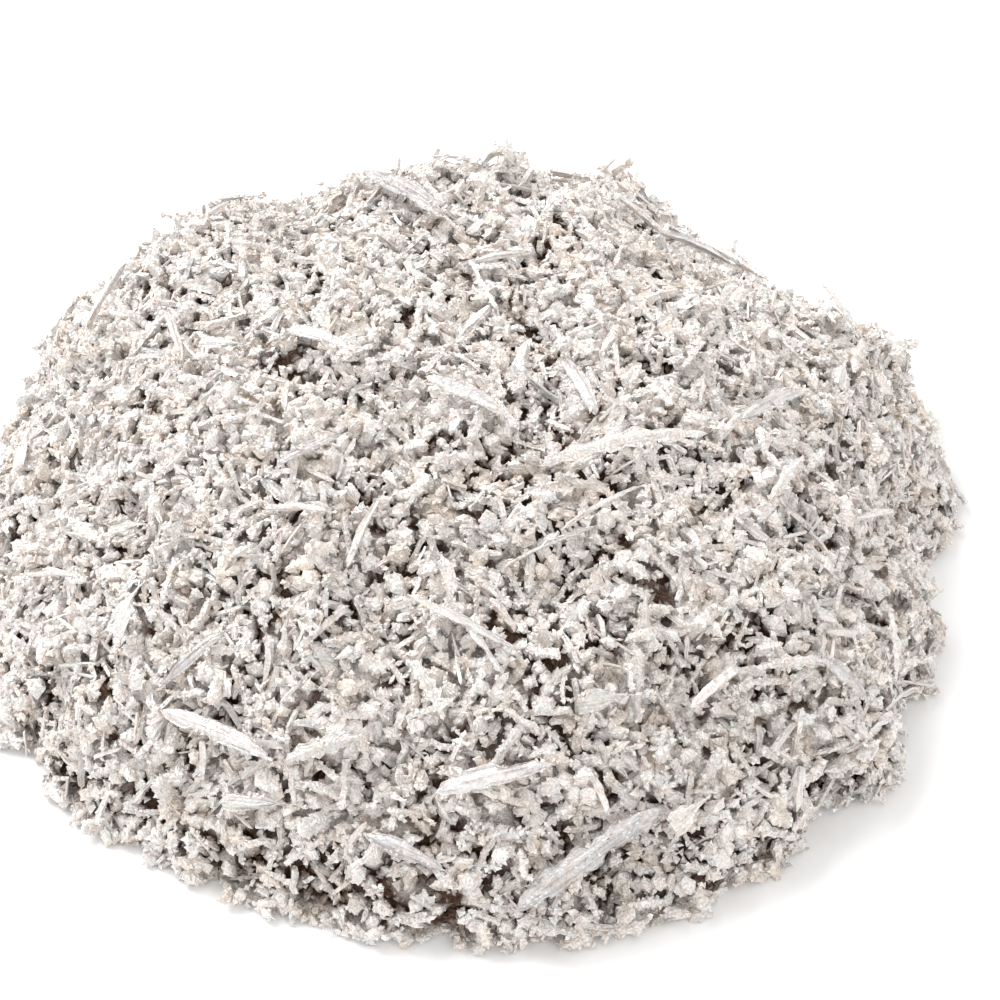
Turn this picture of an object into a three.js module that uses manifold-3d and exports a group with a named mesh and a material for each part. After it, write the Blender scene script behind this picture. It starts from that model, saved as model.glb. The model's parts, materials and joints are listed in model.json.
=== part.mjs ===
// A loose heap of electrolytic silver crystals, in millimetres, +Z up.
// crystal_bed is the matted mass of small crystals: a lumpy dome with a flat underside, and with medium
// needles, blades and nuggets fused to it. The large blades, flakes, needles and feathers lie loose on
// the bed, each in a groove of its own. The origin is the middle of the heap's box, on the surface that
// the heap rests on, and -Y is the front.
import * as THREE from "three";
import { mergeVertices } from "three/addons/utils/BufferGeometryUtils.js";
import Module from "manifold-3d";

const wasm = await Module();
wasm.setup();

// ---------------------------------------------------------------- driving dimensions
const HEAP_RADIUS = 48.5; // mean radius of the footprint
const HEAP_DEPTH_RATIO = 1.02; // the footprint is this much deeper (Y) than it is wide (X)
const HEAP_HEIGHT = 30; // top of the plain dome
const RIM_HEIGHT = 1.5; // upright edge where the flank meets the resting surface
const FLANK_FALL = 2.5; // exponents of the dome's section: a broad top and a steep flank
const FLANK_ROUND = 0.72;
const BED_RINGS = 20; // rings of the bed's grid, about 3 mm apart
const RING_CROWDING = 0.13; // how far the rings are moved outwards, so that they're as close on the flank
const GRID_SCATTER = 0.6; // how far a grid point strays, in every direction
const RIM_SCATTER = 0.8; // how far a point of the rim strays outwards
const RIM_RAGGED = { reach: 1.3, size: 6 }; // small bulges and notches of the footprint
const GAP = 0.35; // clearance between a loose crystal and the bed

// Bulges and notches of the footprint: direction in degrees from +X, reach in mm, spread in degrees.
const LOBES = [
  { at: 12, reach: 1.2, spread: 6 },
  { at: 27, reach: 4.5, spread: 5 },
  { at: 40, reach: -2.0, spread: 5 },
  { at: 57, reach: -4.5, spread: 8 },
  { at: 121, reach: 2.0, spread: 14 },
  { at: 150, reach: 3.5, spread: 16 },
  { at: 205, reach: 1.6, spread: 16 },
  { at: 235, reach: 2.0, spread: 14 },
  { at: 262, reach: 1.3, spread: 6 },
  { at: 294, reach: 1.5, spread: 4 },
  { at: 306, reach: 1.5, spread: 3 },
  { at: 313, reach: -2.4, spread: 4 },
  { at: 323, reach: 2.6, spread: 6 },
  { at: 354, reach: -4.5, spread: 4 },
];
// Broad humps and hollows of the top: place, rise and radius in mm.
const HUMPS = [
  { x: -4, y: 31, rise: 4.5, radius: 9 },
  { x: 17, y: 37, rise: 8.0, radius: 5 },
  { x: -31, y: 27, rise: 8.0, radius: 11 },
  { x: -17, y: 34, rise: -3.5, radius: 5 },
  { x: 26, y: 30, rise: -7.5, radius: 9 },
  { x: 24, y: -14, rise: 1.5, radius: 10 },
  { x: -14, y: -24, rise: 1.0, radius: 9 },
  { x: 3, y: -9, rise: -1.5, radius: 7 },
];
// Lumps of the surface: how far they stand out and how wide they are. Pits go in where their noise is high.
const LUMPS = [
  { rise: 1.5, size: 9 },
  { rise: 1.4, size: 4.6 },
];
const PITS = { depth: 4, size: 5.5, above: 0.3 };
// Rounded clumps of granules on the bed: place and radius in mm.
const CLUMPS = [
  { x: 31, y: -22, radius: 2.6 },
  { x: 7, y: -36, radius: 2.4 },
  { x: 20, y: 0, radius: 2.8 },
  { x: -3, y: -30, radius: 2.0 },
  { x: 16, y: -30, radius: 2.2 },
  { x: -32, y: -30, radius: 2.4 },
  { x: 15, y: 34, radius: 3.0 },
  { x: -12, y: 36, radius: 2.6 },
  { x: 38, y: 16, radius: 2.6 },
  { x: -40, y: 12, radius: 2.4 },
];
// The loose crystals: place of the middle, heading in degrees from +X, and length and width in mm.
const LOOSE = {
  blade: [
    { x: 10.5, y: -46, heading: 28, length: 17, width: 3.4 },
    { x: 2, y: -42, heading: 11, length: 11.5, width: 2.4 },
    { x: -23, y: -36, heading: -31, length: 12.6, width: 2.4 },
    { x: 10, y: -6, heading: -68, length: 8.5, width: 2.0 },
    { x: 29, y: -3, heading: 50, length: 13, width: 2.2 },
    { x: -1, y: -9, heading: -28, length: 9.5, width: 2.4 },
    { x: -14, y: -2, heading: -30, length: 9, width: 1.9 },
    { x: -7, y: 22, heading: -50, length: 14, width: 3.0 },
    { x: -25, y: -30, heading: 20, length: 9.4, width: 1.7 },
    { x: -15, y: -14, heading: 23, length: 7.5, width: 1.8 },
    { x: 34, y: -28, heading: -20, length: 7, width: 1.8 },
    { x: -6, y: -46, heading: -19, length: 8.6, width: 2.2 },
    { x: 22, y: 22, heading: 15, length: 11, width: 2.6 },
    { x: -25, y: 29, heading: 120, length: 10, width: 2.2 },
    { x: 11, y: 43.5, heading: -24, length: 9, width: 2.4 },
  ],
  flake: [
    { x: 20, y: -42, heading: 40, length: 5.5, width: 3.0 },
    { x: -31, y: -24, heading: 47, length: 6.4, width: 3.0 },
    { x: -32, y: -16, heading: -18, length: 6, width: 2.4 },
    { x: 12, y: -36, heading: 14, length: 6.4, width: 2.6 },
    { x: -19, y: -41.5, heading: -16, length: 9, width: 2.4 },
    { x: -23, y: 0, heading: -25, length: 6.2, width: 2.0 },
    { x: 8, y: 38, heading: 150, length: 7, width: 3.2 },
    { x: 36, y: 6, heading: 80, length: 6.5, width: 2.8 },
    { x: -35, y: 30, heading: 34, length: 7, width: 2.6 },
    { x: -44, y: 4, heading: 80, length: 7, width: 2.8 },
  ],
  needle: [
    { x: -10, y: -22, heading: 65, length: 9, width: 1.3 },
    { x: 7, y: -24, heading: 28, length: 11, width: 1.0 },
    { x: 12, y: -20, heading: 34, length: 10, width: 1.0 },
    { x: -16, y: -20, heading: -16, length: 6.8, width: 1.3 },
    { x: 22, y: -33, heading: 43, length: 6.6, width: 1.6 },
    { x: 11, y: -42, heading: -52, length: 5.4, width: 1.3 },
    { x: -29, y: 6, heading: -75, length: 10, width: 1.2 },
    { x: -40, y: -16, heading: -38, length: 10, width: 1.3 },
    { x: 28, y: -34, heading: 60, length: 5.4, width: 1.2 },
    { x: 38.5, y: -10, heading: 50, length: 9, width: 1.3 },
    { x: 2, y: 12, heading: 20, length: 9, width: 1.2 },
    { x: -37, y: 19, heading: 60, length: 9, width: 1.4 },
    { x: 27, y: 31, heading: 130, length: 10, width: 1.4 },
    { x: -16, y: 38, heading: 100, length: 8, width: 1.3 },
    { x: 17, y: 31, heading: 160, length: 8, width: 1.2 },
  ],
  feather: [
    { x: -13, y: -39, heading: 4, length: 8.4, width: 2.6 },
    { x: 14, y: -14, heading: 17, length: 17, width: 3.0 },
    { x: 28.5, y: -28.5, heading: 20, length: 7.5, width: 2.2 },
    { x: 29, y: -13, heading: 62, length: 8.5, width: 2.2 },
    { x: -4, y: -36, heading: -58, length: 6.4, width: 2.2 },
    { x: 39.5, y: -21, heading: -84, length: 7, width: 2.2 },
    { x: -12, y: 44, heading: 10, length: 9, width: 2.6 },
    { x: 36, y: 17, heading: 114, length: 8.5, width: 2.4 },
  ],
  forked_needle: [{ x: -1, y: -31, heading: -24, length: 11.5, width: 1.4 }],
};
// Medium crystals fused to the bed: how many, and length, width and thickness ranges in mm.
const FUSED = [
  { form: "splinter", count: 62, length: [5, 9], width: [1.1, 1.7], steepest: 45 },
  { form: "chip", count: 34, length: [5, 8], width: [2.0, 3.2], steepest: 40 },
];
const NUGGETS = { count: 12, radius: [1.4, 2.1] };

// ---------------------------------------------------------------- repeatable random numbers and noise
function randomSource(seed) {
  let state = seed;
  return () => {
    state = (state + 0x6d2b79f5) | 0;
    let mixed = Math.imul(state ^ (state >>> 15), 1 | state);
    mixed = (mixed + Math.imul(mixed ^ (mixed >>> 7), 61 | mixed)) ^ mixed;
    return ((mixed ^ (mixed >>> 14)) >>> 0) / 4294967296;
  };
}

const WHOLE_TURN = [0, 2 * Math.PI];
const pick = (random, [low, high]) => low + (high - low) * random();

function latticeValue(ix, iy, iz) {
  const wave = Math.sin(ix * 127.1 + iy * 311.7 + iz * 74.7) * 43758.5453;
  return wave - Math.floor(wave);
}

// Smooth noise from -1 to 1, with features about as wide as size.
function noise(point, size) {
  const scaled = point.clone().divideScalar(size);
  const cell = scaled.clone().floor();
  const [u, v, w] = scaled.sub(cell).toArray().map((t) => t * t * (3 - 2 * t));
  const { lerp } = THREE.MathUtils;
  const row = (dy, dz) => {
    const [iy, iz] = [cell.y + dy, cell.z + dz];
    return lerp(latticeValue(cell.x, iy, iz), latticeValue(cell.x + 1, iy, iz), u);
  };
  return 2 * lerp(lerp(row(0, 0), row(1, 0), v), lerp(row(0, 1), row(1, 1), v), w) - 1;
}

// ---------------------------------------------------------------- the heap's form
const plainRadius = (angle) => HEAP_RADIUS / Math.hypot(Math.cos(angle), Math.sin(angle) / HEAP_DEPTH_RATIO);

// How far the footprint bulges out of its plain oval.
function bulge(angle) {
  const degrees = THREE.MathUtils.radToDeg(angle);
  const onRim = new THREE.Vector3(Math.cos(angle), Math.sin(angle), 0).multiplyScalar(HEAP_RADIUS);
  const ragged = RIM_RAGGED.reach * noise(onRim, RIM_RAGGED.size);
  return LOBES.reduce((sum, lobe) => {
    const away = THREE.MathUtils.euclideanModulo(degrees - lobe.at + 180, 360) - 180;
    return sum + lobe.reach * Math.exp(-((away / lobe.spread) ** 2));
  }, ragged);
}

const footprintRadius = (angle) => plainRadius(angle) + bulge(angle);

// Height of the plain dome with its broad humps. The footprint's bulges die out towards the top.
function domeHeight(x, y) {
  const angle = Math.atan2(y, x);
  const radius = Math.hypot(x, y);
  const fade = Math.min(1, radius / plainRadius(angle)) ** 4;
  const share = Math.min(1, radius / (plainRadius(angle) + fade * bulge(angle)));
  const flank = (1 - share ** FLANK_FALL) ** FLANK_ROUND;
  const humps = HUMPS.reduce(
    (sum, h) => sum + h.rise * Math.exp(-((x - h.x) ** 2 + (y - h.y) ** 2) / h.radius ** 2),
    0,
  );
  return RIM_HEIGHT + flank * (HEAP_HEIGHT - RIM_HEIGHT + humps);
}

// The dome's slope along a direction, taken over span on either side.
function domeSlope(x, y, direction, span) {
  const [dx, dy] = [direction.x * span, direction.y * span];
  return (domeHeight(x + dx, y + dy) - domeHeight(x - dx, y - dy)) / (2 * span);
}

const EAST = new THREE.Vector2(1, 0);
const NORTH = new THREE.Vector2(0, 1);

// Distance from the middle as a share of the footprint's radius, for a share of the way down the dome.
const crowded = (way) => way + RING_CROWDING * Math.sin(Math.PI * way);

// A point of the bed over (x, y): the dome, moved out or in along its normal by lumps and pits.
function bedPoint(x, y) {
  const onDome = new THREE.Vector3(x, y, domeHeight(x, y));
  const normal = new THREE.Vector3(-domeSlope(x, y, EAST, 1), -domeSlope(x, y, NORTH, 1), 1).normalize();
  const lumps = LUMPS.reduce((sum, lump) => sum + lump.rise * noise(onDome, lump.size), 0);
  const pit = PITS.depth * Math.max(0, noise(onDome.clone().addScalar(40), PITS.size) - PITS.above);
  return onDome.addScaledVector(normal, lumps - pit);
}

// ---------------------------------------------------------------- meshes and solids
function solidFrom(geometry) {
  const bare = geometry.clone();
  bare.deleteAttribute("normal");
  bare.deleteAttribute("uv");
  const merged = mergeVertices(bare, 1e-4);
  return new wasm.Manifold(
    new wasm.Mesh({
      numProp: 3,
      vertProperties: new Float32Array(merged.attributes.position.array),
      triVerts: new Uint32Array(merged.index.array),
    }),
  );
}

function geometryFrom(solid) {
  const mesh = solid.getMesh();
  const geometry = new THREE.BufferGeometry();
  geometry.setAttribute("position", new THREE.BufferAttribute(mesh.vertProperties, 3));
  geometry.setIndex(new THREE.BufferAttribute(mesh.triVerts, 1));
  const faceted = geometry.toNonIndexed();
  faceted.computeVertexNormals();
  return faceted;
}

// The bed without its fused crystals: rings of 6, 12, 18 ... points round the top, and a flat underside.
function bedGeometry(random) {
  const stray = (reach) => reach * (2 * random() - 1);
  const points = [bedPoint(0, 0)];
  const faces = [];
  const firstOf = (ring) => (ring === 0 ? 0 : 1 + 3 * ring * (ring - 1));
  for (let ring = 1; ring <= BED_RINGS; ring += 1) {
    for (let step = 0; step < 6 * ring; step += 1) {
      const angle = (step / (6 * ring)) * 2 * Math.PI;
      const outward = new THREE.Vector2(Math.cos(angle), Math.sin(angle));
      const onBed = outward.clone().multiplyScalar(footprintRadius(angle) * crowded(ring / BED_RINGS));
      if (ring < BED_RINGS) {
        const loosened = new THREE.Vector3(stray(GRID_SCATTER), stray(GRID_SCATTER), stray(GRID_SCATTER));
        points.push(bedPoint(onBed.x, onBed.y).add(loosened));
      } else {
        onBed.addScaledVector(outward, RIM_SCATTER * random());
        points.push(new THREE.Vector3(onBed.x, onBed.y, RIM_HEIGHT + stray(0.4 * RIM_HEIGHT)));
      }
    }
    for (let side = 0; side < 6; side += 1) {
      for (let step = 0; step < ring; step += 1) {
        const outer = firstOf(ring) + ((side * ring + step) % (6 * ring));
        const outerNext = firstOf(ring) + ((side * ring + step + 1) % (6 * ring));
        const innerCount = Math.max(1, 6 * (ring - 1));
        const inner = firstOf(ring - 1) + ((side * (ring - 1) + step) % innerCount);
        faces.push(inner, outer, outerNext);
        if (step < ring - 1) {
          const innerNext = firstOf(ring - 1) + ((side * (ring - 1) + step + 1) % innerCount);
          faces.push(inner, outerNext, innerNext);
        }
      }
    }
  }
  const rim = firstOf(BED_RINGS);
  const rimCount = 6 * BED_RINGS;
  const foot = points.length;
  for (let step = 0; step < rimCount; step += 1) {
    points.push(new THREE.Vector3(points[rim + step].x, points[rim + step].y, 0));
  }
  const middle = points.length;
  points.push(new THREE.Vector3(0, 0, 0));
  for (let step = 0; step < rimCount; step += 1) {
    const next = (step + 1) % rimCount;
    faces.push(rim + step, foot + step, foot + next);
    faces.push(rim + step, foot + next, rim + next);
    faces.push(foot + step, middle, foot + next);
  }
  return new THREE.BufferGeometry().setFromPoints(points).setIndex(faces);
}

// ---------------------------------------------------------------- crystal forms
// Each form has the outline of its cross-section (shares of half the width and of the thickness), the
// stations along its length from 0 to 1, and its width there as a share of the full width.
const FORMS = {
  blade: {
    section: [[1, 0], [0.12, 0.5], [-1, 0.05], [-0.1, -0.5]],
    stations: [0.08, 0.28, 0.52, 0.74, 0.92],
    share: (t) => Math.sin(Math.PI * t ** 0.85) ** 0.6,
    thickness: (width) => 0.42 * width + 0.2,
  },
  flake: {
    section: [[1, 0.05], [0.5, 0.5], [-0.45, 0.5], [-1, -0.05], [-0.5, -0.5], [0.45, -0.5]],
    stations: [0.04, 0.18, 0.4, 0.66, 0.9],
    share: (t) => 0.55 + 0.45 * Math.sin(Math.PI * (t + 0.06) * 1.7),
    thickness: (width) => 0.22 * width + 0.25,
  },
  needle: {
    section: [[1, 0], [0.3, 0.5], [-0.8, 0.35], [-0.8, -0.35], [0.3, -0.5]],
    stations: [0.1, 0.5, 0.86],
    share: (t) => 1 - 0.35 * Math.abs(2 * t - 0.9),
    thickness: (width) => 0.85 * width,
  },
  feather: {
    section: [[1, 0], [0, 0.5], [-1, 0], [0, -0.5]],
    stations: Array.from({ length: 11 }, (_, i) => (i + 0.7) / 11.4),
    share: (t) => (Math.round(t * 11.4 - 0.7) % 2 ? 0.62 : 1) * Math.sin(Math.PI * t ** 0.8) ** 0.5,
    thickness: (width) => 0.3 * width + 0.25,
  },
  splinter: {
    section: [[1, -0.2], [-0.2, 0.5], [-0.8, -0.3]],
    stations: [0.16, 0.8],
    share: (t) => 1.1 - 0.4 * t,
    thickness: (width) => 0.9 * width,
  },
  chip: {
    section: [[1, 0], [0.1, 0.5], [-1, 0], [-0.1, -0.5]],
    stations: [0.42],
    share: () => 1,
    thickness: (width) => 0.4 * width + 0.3,
  },
};

// The plain bar that cuts the groove of a loose crystal of any form.
const GROOVE = {
  section: [[1, 0.5], [-1, 0.5], [-1, -0.5], [1, -0.5]],
  stations: [0.05, 0.5, 0.95],
  share: (t) => (t === 0.5 ? 1.04 : 0.7),
};

// A closed crystal along X, pointed at both ends. sag lowers its ends, sway moves its middle sideways,
// and grow widens it all round.
function crystalGeometry(form, { length, width, sag = 0, sway = 0, grow = 0 }) {
  const points = [];
  const faces = [];
  const spine = (t) => new THREE.Vector3((t - 0.5) * length, sway * (1 - (2 * t - 1) ** 2), -sag * (2 * t - 1) ** 2);
  const sides = form.section.length;
  const halfThick = form.thickness(width) / 2;
  for (const t of form.stations) {
    const share = form.share(t);
    for (const [across, up] of form.section) {
      const y = (across * share * width) / 2 + Math.sign(across) * grow;
      const z = 2 * up * halfThick * (0.4 + 0.6 * share) + Math.sign(up) * grow;
      points.push(spine(t).add(new THREE.Vector3(0, y, z)));
    }
  }
  const [tail, tip] = [points.length, points.length + 1];
  points.push(spine(0).add(new THREE.Vector3(-grow, 0, 0)), spine(1).add(new THREE.Vector3(grow, 0, 0)));
  const last = (form.stations.length - 1) * sides;
  for (let side = 0; side < sides; side += 1) {
    const next = (side + 1) % sides;
    faces.push(tail, next, side, tip, last + side, last + next);
    for (let slice = 0; slice < last; slice += sides) {
      faces.push(slice + side, slice + next, slice + sides + next);
      faces.push(slice + side, slice + sides + next, slice + sides + side);
    }
  }
  return new THREE.BufferGeometry().setFromPoints(points).setIndex(faces);
}

// A needle with a shorter one branching from it, as one solid.
function forkedNeedle({ length, width, sag, grow = 0 }) {
  const main = solidFrom(crystalGeometry(FORMS.needle, { length, width, sag, grow }));
  const branch = crystalGeometry(FORMS.needle, { length: 0.55 * length, width: 0.9 * width, grow });
  branch.rotateZ(THREE.MathUtils.degToRad(-28));
  branch.translate(0.26 * length, -0.12 * length, -0.3 * sag);
  return main.add(solidFrom(branch));
}

// A loose crystal and the solid that cuts its groove. A longer crystal bends more to the bed.
function looseSolids(kind, { length, width }) {
  const size = { length, width, sag: sagOf(length), sway: 0.04 * length };
  if (kind === "forked_needle") return [forkedNeedle(size), forkedNeedle({ ...size, grow: GAP })];
  const bar = { ...GROOVE, thickness: FORMS[kind].thickness };
  const groove = crystalGeometry(bar, { ...size, grow: GAP });
  return [solidFrom(crystalGeometry(FORMS[kind], size)), solidFrom(groove)];
}

// A rounded clump: an icosahedron with its corners moved in and out.
function clumpSolid(radius, random) {
  const ball = new THREE.IcosahedronGeometry(radius, 0);
  ball.deleteAttribute("normal");
  ball.deleteAttribute("uv");
  const merged = mergeVertices(ball, 1e-4);
  const corner = new THREE.Vector3();
  for (let i = 0; i < merged.attributes.position.count; i += 1) {
    corner.fromBufferAttribute(merged.attributes.position, i).multiplyScalar(pick(random, [0.8, 1.15]));
    merged.attributes.position.setXYZ(i, corner.x, corner.y, corner.z);
  }
  return solidFrom(merged);
}

// ---------------------------------------------------------------- placing crystals on the bed
// A frame on the dome whose X runs along the heading and whose Z is the dome's normal, taken over reach.
function lieOfTheBed(x, y, heading, reach) {
  const along = new THREE.Vector2(Math.cos(heading), Math.sin(heading));
  const across = new THREE.Vector2(-along.y, along.x);
  const forward = new THREE.Vector3(along.x, along.y, domeSlope(x, y, along, reach)).normalize();
  const sideways = new THREE.Vector3(across.x, across.y, domeSlope(x, y, across, 2)).normalize();
  const up = new THREE.Vector3().crossVectors(forward, sideways).normalize();
  const place = new THREE.Matrix4().makeBasis(forward, new THREE.Vector3().crossVectors(up, forward), up);
  return place.setPosition(x, y, domeHeight(x, y));
}

const sagOf = (length) => 0.012 * length ** 1.5;

// Where a loose crystal lies: on the highest lumps under it.
function restingPlace({ x, y, heading, length, width }, thickness) {
  const place = lieOfTheBed(x, y, THREE.MathUtils.degToRad(heading), 0.35 * length);
  let highest = -Infinity;
  for (let along = -0.4; along <= 0.4; along += 0.1) {
    for (const across of [-0.4, 0, 0.4]) {
      const under = new THREE.Vector3(along * length, across * width, 0).applyMatrix4(place);
      const lump = bedPoint(under.x, under.y).applyMatrix4(place.clone().invert());
      highest = Math.max(highest, lump.z + sagOf(length) * (2 * along) ** 2);
    }
  }
  return place.multiply(new THREE.Matrix4().makeTranslation(0, 0, highest + thickness / 2));
}

function placed(solid, matrix) {
  return solid.transform(matrix.elements);
}

// A random spot on the bed, clear of the rim.
function spotOnBed(random) {
  const angle = pick(random, WHOLE_TURN);
  const radius = footprintRadius(angle) * crowded(Math.sqrt(pick(random, [0, 0.9])));
  return { x: radius * Math.cos(angle), y: radius * Math.sin(angle) };
}

// One crystal fused to the bed, tilted up to its group's steepest angle.
function fusedCrystal({ form, length, width, steepest }, random) {
  const { x, y } = spotOnBed(random);
  const size = { length: pick(random, length), width: pick(random, width) };
  const place = lieOfTheBed(x, y, pick(random, WHOLE_TURN), 0.3 * size.length);
  const onBed = bedPoint(x, y);
  place.setPosition(onBed.x, onBed.y, onBed.z);
  const tilt = THREE.MathUtils.degToRad(pick(random, [-steepest, steepest]));
  const turned = new THREE.Matrix4().makeRotationFromEuler(new THREE.Euler(pick(random, [-0.5, 0.5]), tilt, 0));
  return placed(solidFrom(crystalGeometry(FORMS[form], size)), place.multiply(turned));
}

function clumpOnBed({ x, y, radius }, random) {
  const onBed = bedPoint(x, y);
  const place = new THREE.Matrix4().makeRotationZ(pick(random, WHOLE_TURN));
  return placed(clumpSolid(radius, random), place.setPosition(onBed.x, onBed.y, onBed.z));
}

// ---------------------------------------------------------------- the pieces
const silver = (colour, roughness) => new THREE.MeshStandardMaterial({ color: colour, roughness, metalness: 0.9 });
const bedSilver = silver(0xcfc8c2, 0.6);
const LOOSE_SILVER = {
  blade: silver(0xe2dedb, 0.4),
  flake: silver(0xe8e6e4, 0.35),
  needle: silver(0xdcd7d2, 0.45),
  feather: silver(0xd5d1ce, 0.5),
  forked_needle: silver(0xe0dbd6, 0.45),
};

function looseCrystals() {
  const crystals = [];
  for (const [kind, entries] of Object.entries(LOOSE)) {
    entries.forEach((entry, index) => {
      const { thickness } = FORMS[kind] ?? FORMS.needle;
      const place = restingPlace(entry, thickness(entry.width));
      const [solid, groove] = looseSolids(kind, entry);
      const name = `${kind}_${String(index + 1).padStart(2, "0")}`;
      crystals.push({ name, solid, place, material: LOOSE_SILVER[kind], groove: placed(groove, place) });
    });
  }
  return crystals;
}

function biggestBody(solid) {
  return solid.decompose().reduce((best, body) => (body.volume() > best.volume() ? body : best));
}

// The bed with its fused crystals, which keep clear of the loose ones, and with room cut for those.
function crystalBed(grooves) {
  const random = randomSource(12);
  const nuggets = Array.from({ length: NUGGETS.count }, () => ({
    ...spotOnBed(random),
    radius: pick(random, NUGGETS.radius),
  }));
  const fused = [...CLUMPS, ...nuggets].map((clump) => clumpOnBed(clump, random));
  for (const group of FUSED) {
    for (let i = 0; i < group.count; i += 1) fused.push(fusedCrystal(group, random));
  }
  const touches = (a, b) => a.intersect(b).volume() > 0;
  let bed = solidFrom(bedGeometry(random));
  for (const crystal of fused) {
    if (!grooves.some((groove) => touches(groove, crystal))) bed = bed.add(crystal);
  }
  for (const groove of grooves) {
    if (touches(groove, bed)) bed = bed.subtract(groove);
  }
  const underside = new THREE.BoxGeometry(4 * HEAP_RADIUS, 4 * HEAP_RADIUS, 20).translate(0, 0, -10);
  return biggestBody(bed.subtract(solidFrom(underside)));
}

const heap = new THREE.Group();
function addPiece(name, solid, material) {
  const mesh = new THREE.Mesh(geometryFrom(solid), material);
  mesh.name = name;
  heap.add(mesh);
  return mesh;
}

const loose = looseCrystals();
addPiece("crystal_bed", crystalBed(loose.map((crystal) => crystal.groove)), bedSilver);
for (const { name, solid, place, material } of loose) {
  const mesh = addPiece(name, solid, material);
  place.decompose(mesh.position, mesh.quaternion, mesh.scale);
}

const box = new THREE.Box3().setFromObject(heap, true);
const middle = box.getCenter(new THREE.Vector3());
heap.position.set(-middle.x, -middle.y, -box.min.z);

export default heap;
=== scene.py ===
"""A loose heap of electrolytic silver crystals, in metres, +Z up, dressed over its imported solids.

The bed solid reaches to the tips of its crystals. Here its skin is set in, and crumbs, clumps, rods,
branches, shards, twigs and grains of silver are strewn over it up to the solid's surface. Each loose
crystal is its own solid, with its fibres, frost and torn edges worked in.
"""
import json
import math
import random

import bmesh
import bpy
import numpy as np
from mathutils import Matrix, Vector, noise
from mathutils.bvhtree import BVHTree

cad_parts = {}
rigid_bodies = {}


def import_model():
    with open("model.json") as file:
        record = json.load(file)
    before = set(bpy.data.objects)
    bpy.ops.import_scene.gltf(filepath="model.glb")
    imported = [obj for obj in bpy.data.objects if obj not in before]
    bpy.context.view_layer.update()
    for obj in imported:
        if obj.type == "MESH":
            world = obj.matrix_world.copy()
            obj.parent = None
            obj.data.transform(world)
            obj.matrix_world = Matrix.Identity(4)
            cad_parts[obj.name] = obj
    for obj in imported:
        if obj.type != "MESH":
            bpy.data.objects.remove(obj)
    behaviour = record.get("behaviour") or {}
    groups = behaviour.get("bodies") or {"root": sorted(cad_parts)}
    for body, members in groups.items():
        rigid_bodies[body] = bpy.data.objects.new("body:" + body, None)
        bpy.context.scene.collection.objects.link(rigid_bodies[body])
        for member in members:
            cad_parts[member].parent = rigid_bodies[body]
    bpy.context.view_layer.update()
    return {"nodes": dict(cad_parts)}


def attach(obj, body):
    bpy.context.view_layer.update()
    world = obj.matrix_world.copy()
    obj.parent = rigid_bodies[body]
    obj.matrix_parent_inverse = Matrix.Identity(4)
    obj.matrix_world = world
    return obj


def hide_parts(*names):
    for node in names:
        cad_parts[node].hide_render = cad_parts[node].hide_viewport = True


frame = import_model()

MM = 0.001
UP = Vector((0, 0, 1))

# ---------------------------------------------------------------- sizes, in millimetres
SKIN_SET_IN = 1.9  # how far the bed's skin lies under the tips of its crystals
SKIN_EDGE = 1.35  # longest edge of the skin's mesh
SKIN_LOOK_IN = {"start": 0.05, "reach": 8.0}  # a look into the bed for how thick it is
LUMPS = {"size": 5.0, "rise": 1.5, "lower_under": (2, 8)}  # lumps of the skin, less high near the floor
RIM_NOTCHES = {"size": 3.2, "depth": 2.4, "height": 7.0}  # notches of the outer edge
THIN_CRYSTAL = (2.2, 3.6)  # parts of the bed this thin are crystals grown out of it and aren't set in
CLEAR_OF_LOOSE = (0.1, 0.7)  # few grains lie nearer to a loose crystal than this
FOOT_GRAINS = (2.0, 9.0)  # heights between which the foot's own grains thin out
STRAW = {"left": (5, 30), "right": (12, 38), "back": (0, 22), "patches": 8}  # thicker from here outwards
RECESS_BROWN_AND_SHADE = (1.15, 2.1)  # depths under the tips of the crystals where silver turns from bright to brown: brown tarnish together with painted shade in the recesses
FOOT_BROWN_AND_SHADE = {"heights": (0.5, 15.0), "depth": 0.28}  # added depth, and so more of the brown tarnish and painted shade, near the floor: darker towards the floor
FOOT = 0.3  # under this height strewn crystals are squeezed together, and none goes through the floor
CRYSTAL_EDGE = 0.47  # longest edge of a loose crystal's mesh
OWN_SHADES = {"blade_01": 0.25, "blade_02": 1.0, "blade_03": 0.9}  # of single crystals, 1 is brightest
TINT_SIZES = (2.6, 1.0, 0.45)  # patches of beige silver, of rosy silver and of mottling
MERGE_WITHIN = 0.002  # corners of a solid's loose triangles this close are the same
MOST_SPLITS = 12  # times that a solid's edges are split at most
ON_FLOOR = 0.02  # points lower than this lie on the floor
OPEN_VIEW = {"start": 0.15, "reach": 2.5, "slant": 1.2}  # a look outwards for what covers a point
FIBRES = {"width": 0.55, "along": 0.09, "depth": 0.24}  # that a loose crystal is made of
CRYSTAL_FROST = {"along": 1.3, "across": 2.4, "depth": 0.1}
LONG_BITES = 0.25  # bites for each mm of a loose crystal's torn edge, roughly
SHORT_BITES = 0.7
DEEPEST_BITE = 0.6  # of the crystal's half width
FROST_PATCHES = {"size": 1.8, "between": (0.0, 0.2)}  # of grains on a loose crystal

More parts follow.
